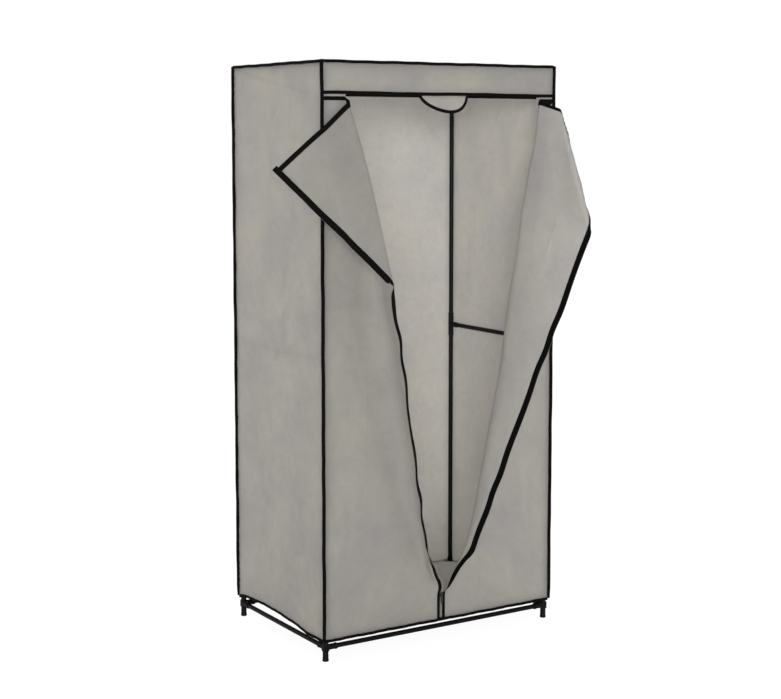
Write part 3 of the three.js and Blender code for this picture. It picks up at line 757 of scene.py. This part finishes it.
# Doors. Each is one cut of the cover cloth with its zip tape down the free edge and black binding
# along the top. It is folded back twice: it swings out along a line from the foot of the zip, and
# its top corner turns over again. Near the zip foot the cloth rolls softly from shut to open.
class Door:
    """A door's cloth, flat to folded: u is across from the zip, z is height, both in mm.

    First and second are how far in from the wardrobe's corner the two folds reach the top. Drop is
    how far below the top the second one starts at the free edge. Swing and corner are their angles
    in degrees. Bends gives the half width of the first fold's roll by the distance along it, and
    opening the share of its angle by height. Curl is how far the free edge turns over, in degrees
    by height. Bow is how far the second fold bends out. The corner's own cut of cloth runs from the
    free edge at seam_low to seam_top across from the zip at the top."""

    def __init__(self, side, first, second, drop, swing, corner, bends, opening, curl, bow,
                 seam_top, seam_low):
        self.side = side
        self.hand = "left" if side < 0 else "right"
        self.foot = np.array([32.0, ZIP_FOOT])
        self.head = np.array([CORNER_X - first, DOOR_TOP])
        self.low = np.array([5.3, DOOR_TOP - drop])
        self.high = np.array([CORNER_X - second, DOOR_TOP])
        self.line1 = (self.head - self.foot) / np.linalg.norm(self.head - self.foot)
        self.line2 = (self.high - self.low) / np.linalg.norm(self.high - self.low)
        self.in1 = np.array([-self.line1[1], self.line1[0]])
        self.in2 = np.array([-self.line2[1], self.line2[0]])
        self.length2 = np.linalg.norm(self.high - self.low)
        self.swing = math.radians(swing)
        self.corner = math.radians(corner)
        self.bow = bow
        self.seam_top = seam_top
        self.seam_low = seam_low
        self.bends = self.smooth(bends, 10.0)
        self.opening = self.smooth(opening, 3.0)
        self.curl = self.smooth(curl, 4.0)
        self.curl_root = 21.0

    def smooth(self, table, step):
        """A table of (place, value), its corners rounded over a few steps."""
        at = np.arange(-100.0, 1600.0, step)
        window = np.hanning(9) / np.hanning(9).sum()
        values = np.pad(np.interp(at, *np.array(table, float).T), 4, mode="edge")
        return at, np.convolve(values, window, "valid")

    def roll(self, r, half, angle):
        """A soft bend: the point r from the line, in the sheet before it and out of it."""
        t = np.clip((r + half) / (2 * half), 0, 1)
        inside_in = (1 - t) ** 2 * -half + t * t * half * np.cos(angle)
        inside_out = t * t * half * np.sin(angle)
        along = np.where(r <= -half, r, np.where(r >= half, r * np.cos(angle), inside_in))
        out = np.where(r <= -half, 0.0, np.where(r >= half, r * np.sin(angle), inside_out))
        return along, out

    def seam(self, z):
        """Where the two cuts of the door meet, across from the zip."""
        t = (z - self.seam_low) / (DOOR_TOP - self.seam_low)
        return 15.5 + (self.seam_top - 15.5) * t

    def front(self, u, z):
        """The front face of the cloth, folded back."""
        u, z = np.broadcast_arrays(np.asarray(u, float), np.asarray(z, float))
        du, dz = u - self.low[0], z - self.low[1]
        a2 = du * self.line2[0] + dz * self.line2[1]
        r2 = du * self.in2[0] + dz * self.in2[1]
        half2 = np.interp(a2 / self.length2, [0.0, 0.12, 0.75, 1.0], [8.0, 13.0, 11.0, 6.0])
        in_plane, out = self.roll(r2, half2, self.corner)
        arch = np.sin(math.pi * np.clip(a2 / self.length2, 0, 1))
        out = out - self.bow * arch * np.exp(-(r2 / 70.0) ** 2)
        u2 = self.low[0] + a2 * self.line2[0] + in_plane * self.in2[0]
        z2 = self.low[1] + a2 * self.line2[1] + in_plane * self.in2[1]
        a1 = (u - self.foot[0]) * self.line1[0] + (z - self.foot[1]) * self.line1[1]
        r1 = (u - self.foot[0]) * self.in1[0] + (z - self.foot[1]) * self.in1[1]
        a1_moved = (u2 - self.foot[0]) * self.line1[0] + (z2 - self.foot[1]) * self.line1[1]
        r1_moved = (u2 - self.foot[0]) * self.in1[0] + (z2 - self.foot[1]) * self.in1[1]
        half1 = np.interp(a1, *self.bends)
        angle = self.swing * np.interp(z, *self.opening)
        bent_in, bent_out = self.roll(r1, half1, angle)
        far = r1 >= half1
        along = np.where(far, a1_moved, a1)
        into = np.where(far, r1_moved * np.cos(angle) - out * np.sin(angle), bent_in)
        away = np.where(far, r1_moved * np.sin(angle) + out * np.cos(angle), bent_out)
        u3 = self.foot[0] + along * self.line1[0] + into * self.in1[0]
        z3 = self.foot[1] + along * self.line1[1] + into * self.in1[1]
        # the turned corner lies over the wardrobe's own edge
        over = np.where(r2 > half2, 7.0 * ease((r2 - half2) / 60.0), 0.0)
        over = over * np.exp(-np.abs(u3 - 377.0) / 38.0)
        return np.stack([self.side * u3, DOOR_FRONT - away - over, z3], -1)

    def place(self, u, z, out):
        """A point of the folded door that stands out from the front face by out."""
        u, z, out = (np.asarray(part, float) for part in np.broadcast_arrays(u, z, out))
        curl = np.radians(np.interp(z, *self.curl))
        root = np.where(np.abs(curl) > 0.001, np.maximum(u, self.curl_root), u)
        step = 1.0
        across = unit(self.front(root - step, z) - self.front(root + step, z))
        up = self.front(root, z + step) - self.front(root, z - step)
        normal = unit(np.cross(up, across) * self.side)
        strip = root - u
        bend = curl * ease(strip / 9.0)
        mean = bend * 0.6
        point = self.front(root, z) + (strip * np.cos(mean))[..., None] * across \
            + (strip * np.sin(mean))[..., None] * normal
        facing = np.cos(bend)[..., None] * normal - np.sin(bend)[..., None] * across
        return point + facing * out[..., None]

    def waves(self, u, z):
        """The cloth's own unevenness, in mm, and its wandering free edge."""
        edges = np.minimum(np.minimum(371.0 - u, DOOR_TOP - z), z - 61.0)
        free = ease(edges / 40)
        seed = 70 + self.side
        calm = ease((z - 140.0) / 120.0) * 0.7 + 0.3
        edge = np.exp(-((u - 5.0) / 55.0) ** 2) * ease((z - 200.0) / 120.0) \
            * ease((DOOR_TOP - z) / 120.0)
        swell = 1.5 * ripple(u, z, 230, seed, 2.0) + 0.4 * ripple(u, z, 70, seed + 3, 1.5)
        return free * calm * swell + 2.2 * edge * np.sin(z / 26.0 + 1.3 * np.sin(z / 71.0)) \
            + pucker(z, 371.0 - u, seed) + pucker(u, z - 61.0, seed + 1, 0.5) \
            + pucker(u, DOOR_TOP - z, seed + 2, 0.5)

    def tape(self, shape, us, zs, near, far):
        """A strip that lies on the cloth, from near to far off its front face, along zs."""
        u, z = np.meshgrid(us, zs)
        lie = self.waves(u, z)
        front, back = self.place(u, z, lie + near), self.place(u, z, lie + far)
        shape.rings(np.concatenate([front, back[:, ::-1]], axis=1), along=zs)


left_door = Door(
    -1, first=77, second=102, drop=429, swing=110, corner=91, bow=8.0, seam_top=282.5, seam_low=900.0,
    bends=[(0, 4), (60, 11), (129, 38), (231, 62), (350, 78), (472, 89), (543, 95), (640, 90),
           (780, 78), (950, 60), (1100, 42), (1230, 26), (1330, 13), (1395, 7)],
    opening=[(132, 0), (150, 0.28), (170, 0.60), (190, 0.82), (215, 0.93), (250, 1)],
    curl=[(0, 0), (142, 0), (157, -35), (180, -66), (232, -66), (262, -22), (285, 20), (305, 42),
          (940, 42), (1020, 66), (1056, 60), (1084, 0)])
right_door = Door(
    1, first=54, second=136, drop=284, swing=107, corner=120, bow=0.0, seam_top=300.0, seam_low=1000.0,
    bends=[(0, 4), (60, 22), (100, 36), (137, 48), (200, 62), (291, 70), (423, 68), (500, 64),
           (640, 60), (740, 54), (850, 44), (970, 40), (1100, 20), (1200, 18), (1281, 24), (1377, 10)],
    opening=[(130, 0), (142, 0.13), (160, 0.30), (180, 0.42), (200, 0.54), (220, 0.67), (240, 0.80),
             (255, 0.92), (270, 1)],
    curl=[(0, 0), (138, 0), (148, 40), (160, 52), (190, 46), (215, 20), (240, 0)])

zip_tape = woven("zip_tape_weave", (0.0032, 0.0029, 0.0027), ribs=1500.0)


def blend_swing(obj, door):
    """Bakes the piece's placement into its mesh."""
    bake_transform(obj)


def blend_corner(obj, door):
    """Finds the ends of a zone 9 mm wide across the middle of the second fold, with the swing panel
    turned out, and leaves them unused; then bakes the piece's placement into its mesh.
    """
    centre = door.low + (door.high - door.low) * 0.5
    into = door.in2
    half = door.corner / 2
    # the directions of the swing panel, turned out with the first fold
    turn = door.swing
    e1 = np.array([door.side * door.in1[0], 0.0, door.in1[1]])
    k1 = np.array([door.side * door.line1[0], 0.0, door.line1[1]])
    outward = np.array([0.0, -1.0, 0.0])
    e1_open = math.cos(turn) * e1 + math.sin(turn) * outward
    out_open = -math.sin(turn) * e1 + math.cos(turn) * outward
    in2_open = (into @ door.line1) * k1 + (into @ door.in1) * e1_open
    normal = math.cos(half) * in2_open + math.sin(half) * out_open
    offset = centre - door.foot
    foot = np.array([door.side * door.foot[0], DOOR_FRONT, door.foot[1]])
    point = (foot + (offset @ door.line1) * k1 + (offset @ door.in1) * e1_open) / 1000 + Shape.middle
    tuple(point - 0.0045 * normal)
    tuple(point + 0.0045 * normal)
    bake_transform(obj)


door_sheets = {}
for door in (left_door, right_door):
    hand = door.hand
    zs = np.unique(np.concatenate([np.linspace(HEM, ZIP_FOOT, 11), np.linspace(ZIP_FOOT, 300.0, 24),
                                   np.linspace(300.0, door.seam_low, 84),
                                   np.linspace(door.seam_low, DOOR_TOP, 60)]))
    inner = np.where(zs < door.seam_low, FREE_EDGE, door.seam(zs))
    u = PANEL_X + (inner[:, None] - PANEL_X) * np.linspace(0, 1, 74)
    z = np.broadcast_to(zs[:, None], u.shape)
    shape = Shape()
    add_sheet(shape, door.place, u, z, door.waves(u, z), seams=np.minimum(PANEL_X - u, z - 61))
    # inner faces: painted shade on the left door, painted light on the right door
    inside = cloth_in_painted_shade if hand == "left" else cloth_lit
    cloth = shape.make(hand + "_door_cloth", [cloth_out, inside])
    blend_swing(cloth, door)
    stand_in(cloth, "cover_cloth", hand + "_door_fixed_panel", hand + "_door_swing_panel")

    zs = np.linspace(door.seam_low, DOOR_TOP, 60)
    inner = door.seam(zs)[:, None]
    u = inner + (FREE_EDGE - inner) * np.linspace(0, 1, 34)
    z = np.broadcast_to(zs[:, None], u.shape)
    shape = Shape()
    add_sheet(shape, door.place, u, z, door.waves(u, z))
    flap = shape.make(hand + "_door_corner_cloth", [cloth_out, inside])
    blend_corner(flap, door)
    stand_in(flap, "cover_cloth", hand + "_door_corner_panel")

    across = np.linspace(1.2, 17.5 if hand == "left" else 19.2, 5)
    for part, zs, sheet, blend, nodes in (
            ("", np.linspace(ZIP_FOOT, door.seam_low, 150), cloth, blend_swing,
             [hand + "_door_swing_tape"]),
            ("_top", np.linspace(door.seam_low, 1507.0, 90), flap, blend_corner, [])):
        shape = Shape()
        door.tape(shape, across, zs, -1.3, -2.4)
        tape = shape.make(hand + "_zip_tape" + part, [zip_tape])
        blend(tape, door)
        stand_in(tape, "zip_tape", *nodes)
        door_sheets[hand + part] = (sheet, [tape])

    # top binding, folded over the door's edge and bunched up where the second fold crosses it
    section = np.array([(-4.0, 0.9), (-2.0, 1.0), (0.9, 0.8), (1.2, -0.6), (0.9, -2.0), (-5.0, -2.3),
                        (-12.0, -2.1), (-12.0, -1.3), (-4.0, -1.3), (0.0, -1.25), (0.05, 0.05),
                        (-4.0, 0.1)])
    front_leg = (section[:, 1] > 0) & (section[:, 0] < -1)
    back_leg = (section[:, 1] < -1) & (section[:, 0] < -1)
    middle, reach, slim = (291.0, 12.0, 1.0) if hand == "left" else (347.0, 26.0, 0.6)
    for part, stretch, blend, sheet, nodes in (
            ("", np.linspace(PANEL_X, door.seam_top, 60), blend_swing, hand,
             [hand + "_door_fixed_binding", hand + "_door_swing_binding"]),
            ("_corner", np.linspace(door.seam_top, 9.0, 80), blend_corner, hand + "_top",
             [hand + "_door_corner_trim"])):
        stretch = stretch[:, None]
        u = np.broadcast_to(stretch, (len(stretch), len(section)))
        fold = np.exp(-((stretch - middle) / reach) ** 4)
        fold = np.maximum(fold, 0.35 * ease((stretch - door.head[0]) / 8.0))
        grow = np.where(front_leg, 1 + 3.8 * fold, np.where(back_leg, slim + 1.2 * fold, 1))
        rise = 6.0 * ease((stretch - door.head[0] + 2.0) / 10.0)
        z = DOOR_TOP + rise + section[:, 0] * grow
        lie = door.waves(u, np.minimum(z, DOOR_TOP))
        shape = Shape()
        shape.rings(door.place(u, z, lie + section[:, 1]))
        edge = shape.make(hand + "_door_top_tape" + part, [binding_tape])
        blend(edge, door)
        stand_in(edge, "black_binding", *nodes)
        door_sheets[sheet][1].append(edge)

    edge_in = door.head[0] + 6
    u, v = np.meshgrid(np.linspace(edge_in, 371.5, 8), np.linspace(1496.0, 1530.0, 6))
    shape = Shape()
    add_sheet(shape, lambda u, v, out: stack(door.side * u, -251.9 - out, v), u, v, 0.0, 1.1)
    tongue = shape.make(hand + "_door_tongue", [cloth_out, cloth_in_painted_shade])
    fix(tongue, "cover_cloth", hand + "_door_fixed_panel")


# Zip. Nylon coils sewn to black tapes. Below the slider they are shut, and above it each runs up
# its own door's free edge. The slider and its pull are cast metal with a dark plated finish.
nylon = coated("zip_coil_nylon", (0.300, 0.290, 0.262), 0.42, shine=0.4, grain=700.0, depth=0.00003)
dark_metal = coated("dark_plated_metal", (0.060, 0.058, 0.056), 0.36,
                    shine=0.5, grain=1800.0, depth=0.00002, metal=0.9)


def coil(place, low, high, pitch, sides=6, beats=10):
    """Rings of a nylon coil: place(across, height, out) puts a point of it in space."""
    count = int((high - low) / pitch * beats)
    turn = np.arange(count) / beats * 2 * math.pi
    z = low + turn / (2 * math.pi) * pitch
    across = 1.95 - 1.9 * np.cos(turn)
    out = 0.62 * np.sin(turn)
    thread = 0.46
    centre = place(across, z, out)
    ahead = unit(np.gradient(centre, axis=0))
    side = unit(np.cross(ahead, place(across, z, out + 1.0) - centre))
    rise = np.cross(side, ahead)
    angle = np.linspace(0, 2 * math.pi, sides, endpoint=False)
    return centre[:, None] + thread * (np.cos(angle)[:, None] * side[:, None]
                                       + np.sin(angle)[:, None] * rise[:, None])


closed = Shape()
for side in (-1, 1):
    zs = np.linspace(60.0, ZIP_FOOT, 16)
    ring = np.array([(0.5, -250.6), (18.6, -250.5), (18.6, -249.4), (0.5, -249.4)])
    closed.rings(np.stack([stack(side * ring[:, 0], ring[:, 1], z) for z in zs]))
    begin = 65.1 if side > 0 else 64.0
    closed.rings(coil(lambda a, z, out: stack(side * (a - 0.35), -250.9 - out, z), begin, 134.0, 2.2),
                 finish=1)
closed_zip = closed.make("closed_zip", [zip_tape, nylon])
fix(closed_zip, "zip_tape", "lower_zip")
stop = Shape()
stop.turned((0, -251.2, 63.0), (0, 0, 1), [(-1.6, 2.4), (-1.2, 3.0), (1.2, 3.0), (1.6, 2.4)],
            segments=20)
zip_stop = stop.make("zip_bottom_stop", [dark_metal])
fix(zip_stop, "zip_metal")

for door in (left_door, right_door):
    def lay(a, z, out):
        return door.place(4.6 - a, z, door.waves(np.full_like(z, 5.0), z) - 0.35 + out)

    for part, low, high, blend in (("", 137.5, door.seam_low, blend_swing),
                                   ("_top", door.seam_low, 1494.0, blend_corner)):
        shape = Shape()
        shape.rings(coil(lay, low, high, 3.0, 5, 7))
        teeth = shape.make(door.hand + "_zip_coil" + part, [nylon])
        blend(teeth, door)
        stand_in(teeth, "zip_metal")
        door_sheets[door.hand + part][1].append(teeth)
for place, flat, area, holder in (("left", (0.362, 1.443), 0.440, left_side),
                                  ("left_top", (0.263, 0.600), 0.084, left_side),
                                  ("right", (0.362, 1.443), 0.448, right_side),
                                  ("right_top", (0.228, 0.500), 0.062, right_side)):
    cloth, pieces = door_sheets[place]
    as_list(pieces)


def slab(shape, outline, levels):
    """A flat casting with rounded edges: levels are (y, how much smaller)."""
    outline = np.asarray(outline, float)
    centre = outline.mean(axis=0)
    rings = []
    for y, less in levels:
        away = outline - centre
        reach = np.linalg.norm(away, axis=1, keepdims=True)
        flat = centre + away * (reach - less) / reach
        rings.append(stack(flat[:, 0], y, flat[:, 1]))
    shape.rings(np.array(rings))


def rounded(points, radius=1.2, steps=4):
    """An outline with its corners rounded."""
    points = np.asarray(points, float)
    result = []
    for before, here, after in zip(np.roll(points, 1, axis=0), points, np.roll(points, -1, axis=0)):
        a = here + (before - here) / np.linalg.norm(before - here) * radius
        b = here + (after - here) / np.linalg.norm(after - here) * radius
        for t in np.linspace(0, 1, steps):
            result.append((1 - t) ** 2 * a + 2 * t * (1 - t) * here + t * t * b)
    return np.array(result)


body = Shape()
wing = rounded([(-5.4, 134.4), (-4.6, 136.2), (4.6, 136.2), (5.4, 134.4), (4.3, 129.0),
                (4.3, 122.6), (-4.3, 122.6), (-4.3, 129.0)], 0.8)
slab(body, wing, [(-252.6, 0.5), (-252.8, 0.1), (-253.1, 0.0), (-253.9, 0.0), (-254.2, 0.4)])
slab(body, wing, [(-249.6, 0.4), (-249.4, 0.0), (-248.9, 0.0), (-248.7, 0.4)])
for side in (-1, 1):
    slab(body, [(side * 4.3, 133.6), (side * 3.5, 122.8), (side * 4.2, 122.8), (side * 5.2, 133.6)],
         [(-253.0, 0.0), (-251.9, 0.0)])
slab(body, rounded([(-1.6, 136.0), (1.6, 136.0), (0.4, 130.5), (-0.4, 130.5)], 0.3),
     [(-253.0, 0.0), (-249.2, 0.0)])
bow = np.linspace(0.0, math.pi, 15)
path = stack(0.0, -254.0 - 2.9 * np.sin(bow), 129.4 - 4.9 * np.cos(bow))
body.rings(follow(path, oval(1.3, 0.75, 12), up=(1.0, 0.0, 0.0)))
slider = body.make("zip_slider_body", [dark_metal])
fix(slider, "zip_metal", "zip_slider", body="slider")

EYE = 130.4
turn = np.linspace(0, 2 * math.pi, 48, endpoint=False)
eye = np.stack([1.75 * np.cos(turn), EYE + 2.1 * np.sin(turn)], -1)
reach = np.where(np.sin(turn) > 0, 3.4, 27.2)
blade = np.stack([3.3 * np.clip(np.cos(turn) * 1.5, -1, 1) * np.where(np.sin(turn) > 0.3, 0.96, 0.9),
                  EYE + reach * np.sin(turn)], -1)
rings = [stack(edge[:, 0] * grow, y, EYE + (edge[:, 1] - EYE) * grow)
         for edge, y, grow in ((eye, -255.0, 1.0), (eye, -256.0, 1.0), (eye, -256.2, 1.12),
                               (blade, -256.2, 0.96), (blade, -255.9, 1.0), (blade, -255.0, 1.0),
                               (blade, -254.8, 0.96), (eye, -254.8, 1.12))]
pull = Shape()
pull.rings(np.array(rings), loop=True)
pull_obj = pull.make("zip_pull_blade", [dark_metal])
fix(pull_obj, "zip_metal", "zip_pull", body="pull")


# Studio. A pale floor and background that show as white behind the object, and soft plain light.
background, start = blank("studio_floor")
seen = start.node("LightPath")
matte = start.node("BsdfDiffuse", None, {"Color": (0.9, 0.9, 0.9, 1.0)})
white = start.node("Emission", None, {"Color": (1.0, 1.0, 1.0, 1.0), "Strength": 1.08})
both = start.node("MixShader", None, {0: seen * 0.88, 1: matte, 2: white})
start.node("OutputMaterial", None, {"Surface": both})
ground = bpy.data.meshes.new("studio_floor")
ground.from_pydata([(-40, -40, 0), (40, -40, 0), (40, 40, 0), (-40, 40, 0)], [], [(0, 1, 2, 3)])
ground.materials.append(background)
floor = placed("studio_floor", ground)
floor.location.z = -0.0005
floor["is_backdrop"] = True

world = bpy.data.worlds.new("studio_air")
world.use_nodes = True
world.node_tree.nodes.clear()
start = Wire(world.node_tree)
path = start.node("LightPath")
air_light = 0.63
sky = start.node("Background", None, {"Color": (1.0, 1.0, 1.0, 1.0),
                                      "Strength": path * (1.0 - air_light) + air_light})
start.node("OutputWorld", None, {"Surface": sky})
bpy.context.scene.world = world

for name, power, spread, towards in (("front_light", 2.55, 22, (-0.515, -0.857, 0.03)),
                                     ("side_light", 0.13, 40, (-1.0, 0.05, 0.30)),
                                     ("back_light", 1.8, 50, (0.65, 0.85, 0.75))):
    lamp = bpy.data.lights.new(name, "SUN")
    lamp.energy = power
    lamp.angle = math.radians(spread)
    lamp_obj = placed(name, lamp)
    lamp_obj.rotation_euler = Vector(towards).to_track_quat("Z", "Y").to_euler()

camera = bpy.data.cameras.new("camera")
camera.lens = 73.31
camera.sensor_width = 36.0
camera.shift_x = -0.0056
camera.shift_y = -0.0514
camera_obj = placed("camera", camera)
camera_obj.location = (-2.0607, -3.6057, 1.4105)
camera_obj.rotation_euler = (math.pi / 2 - 0.11, 0.0, -0.5641)
bpy.context.scene.camera = camera_obj
bpy.context.scene.view_settings.view_transform = "Standard"

low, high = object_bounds()
{"cad": [list(cad_low), list(cad_high)], "visual": [list(low), list(high)]}
